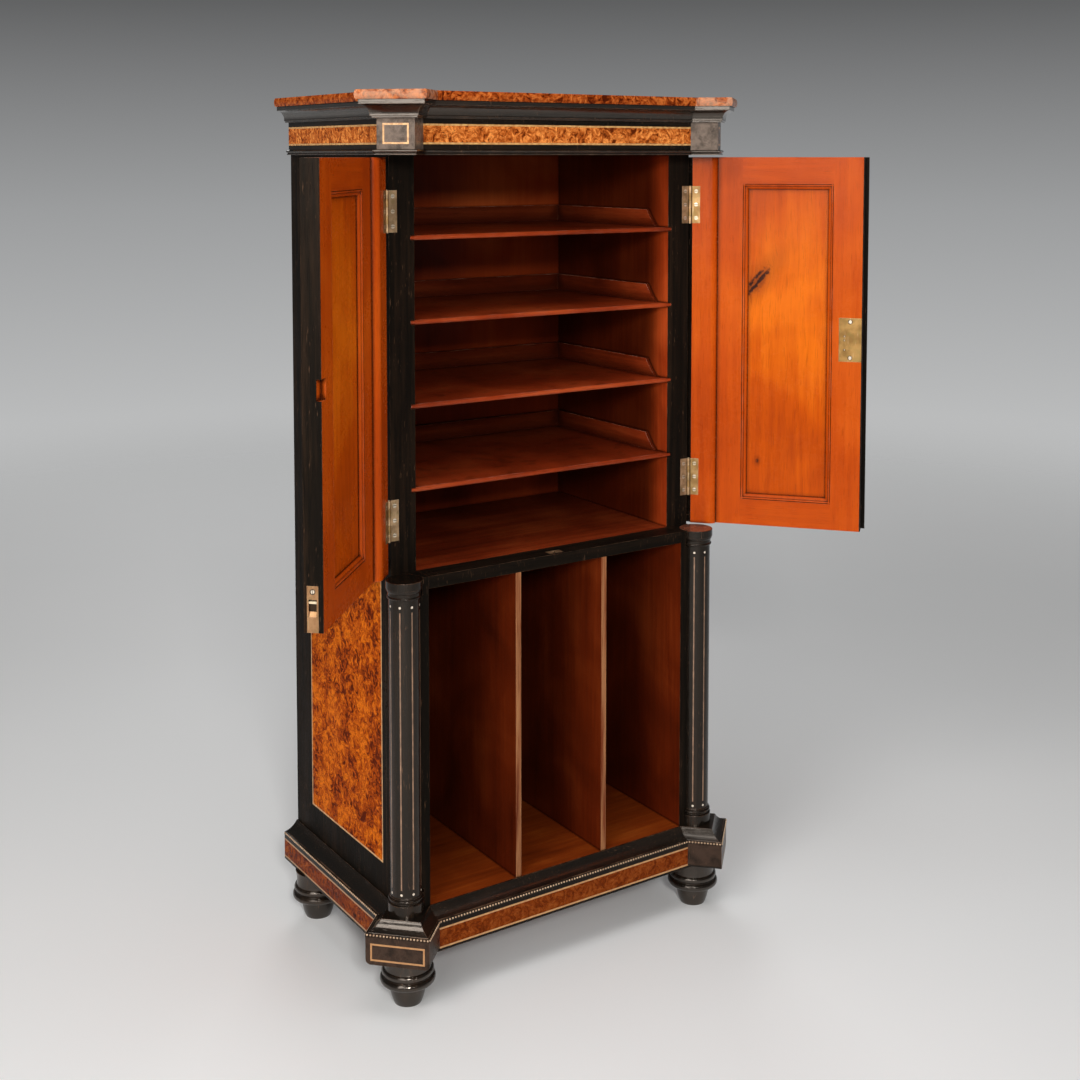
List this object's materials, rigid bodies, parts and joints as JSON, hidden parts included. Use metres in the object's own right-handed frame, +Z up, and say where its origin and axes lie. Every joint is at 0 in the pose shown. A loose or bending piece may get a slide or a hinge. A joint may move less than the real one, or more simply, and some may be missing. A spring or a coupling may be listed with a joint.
{
  "type": "folio cabinet",
  "caption": "Ebonised and burr-veneered folio cabinet with sliding trays behind two panelled doors, upright divisions below, corner columns and turned feet.",
  "frame": {"origin": "on the floor, under the middle of the box round the cabinet with its doors open at rest", "axes": "+X along the front to the right as seen from the front, +Y towards the back, +Z up"},
  "size_m": [1.0353, 0.5646, 1.39],
  "materials": {
    "ebonised": "dark stained and polished",
    "mahogany": "polished",
    "burr": "polished burr veneer",
    "boxwood": "polished inlay",
    "brass": "aged"
  },
  "bodies": {
    "cabinet": {"top_board": "ebonised", "cornice_moulding": "ebonised", "frieze_frame": "ebonised", "frieze_bead": "ebonised", "inner_top_board": "mahogany", "side_frames": "ebonised", "side_panels": "burr", "wall_linings": "mahogany", "left_front_post": "ebonised", "right_front_post": "ebonised", "back_frame": "ebonised", "back_boards": "mahogany", "shelf_board": "mahogany", "mid_rail": "ebonised", "base_board": "mahogany", "dividers": "mahogany", "left_lower_column": "ebonised", "right_lower_column": "ebonised", "plinth_frame": "ebonised", "plinth_moulding": "ebonised", "burr_banding": "burr", "boxwood_stringing": "boxwood", "pearl_beading": "boxwood", "rear_foot_blocks": "mahogany", "front_left_foot": "ebonised", "front_right_foot": "ebonised", "rear_left_foot": "ebonised", "rear_right_foot": "ebonised", "carcass_hinge_leaves": "brass", "hinge_pins": "brass", "carcass_hinge_screws": "brass", "bolt_keep": "brass"},
    "left_door": {"left_door_post": "mahogany", "left_upper_column": "ebonised", "left_door_frame": "mahogany", "left_door_panel": "mahogany", "left_door_veneer": "burr", "left_door_facing": "ebonised", "left_door_stringing": "boxwood", "left_hinge_leaves": "brass", "left_hinge_screws": "brass", "flush_bolt_plate": "brass"},
    "right_door": {"right_door_post": "mahogany", "right_upper_column": "ebonised", "right_door_frame": "mahogany", "right_door_panel": "mahogany", "right_door_veneer": "burr", "right_door_facing": "ebonised", "right_door_stringing": "boxwood", "right_hinge_leaves": "brass", "right_hinge_screws": "brass", "lock_case": "brass"},
    "flush_bolt": {"flush_bolt_slide": "brass"},
    "lock": {"lock_bolt": "brass"},
    "tray_1": {"tray_1": "mahogany"},
    "tray_2": {"tray_2": "mahogany"},
    "tray_3": {"tray_3": "mahogany"},
    "tray_4": {"tray_4": "mahogany"}
  },
  "joints": [
    {"name": "right_door_hinge", "type": "hinge", "parent": "cabinet", "child": "right_door", "pos_m": [0.2922, -0.06822, 0.9754], "axis": [0, 0, 1], "range_deg": [-130.5, 12]},
    {"name": "left_door_hinge", "type": "hinge", "parent": "cabinet", "child": "left_door", "pos_m": [-0.2922, -0.06822, 0.9754], "axis": [0, 0, -1], "range_deg": [-133, 9.5]},
    {"name": "tray_1_slide", "type": "slide", "parent": "cabinet", "child": "tray_1", "axis": [0, -1, 0], "range_m": [0, 0.2]},
    {"name": "tray_2_slide", "type": "slide", "parent": "cabinet", "child": "tray_2", "axis": [0, -1, 0], "range_m": [0, 0.2]},
    {"name": "tray_3_slide", "type": "slide", "parent": "cabinet", "child": "tray_3", "axis": [0, -1, 0], "range_m": [0, 0.2]},
    {"name": "tray_4_slide", "type": "slide", "parent": "cabinet", "child": "tray_4", "axis": [0, -1, 0], "range_m": [0, 0.2]},
    {"name": "flush_bolt_slide", "type": "slide", "parent": "left_door", "child": "flush_bolt", "axis": [0, 0, -1], "range_m": [0, 0.009]},
    {"name": "lock_bolt_slide", "type": "slide", "parent": "right_door", "child": "lock", "axis": [0.6494, -0.7604, 0], "range_m": [0, 0.008]}
  ]
}
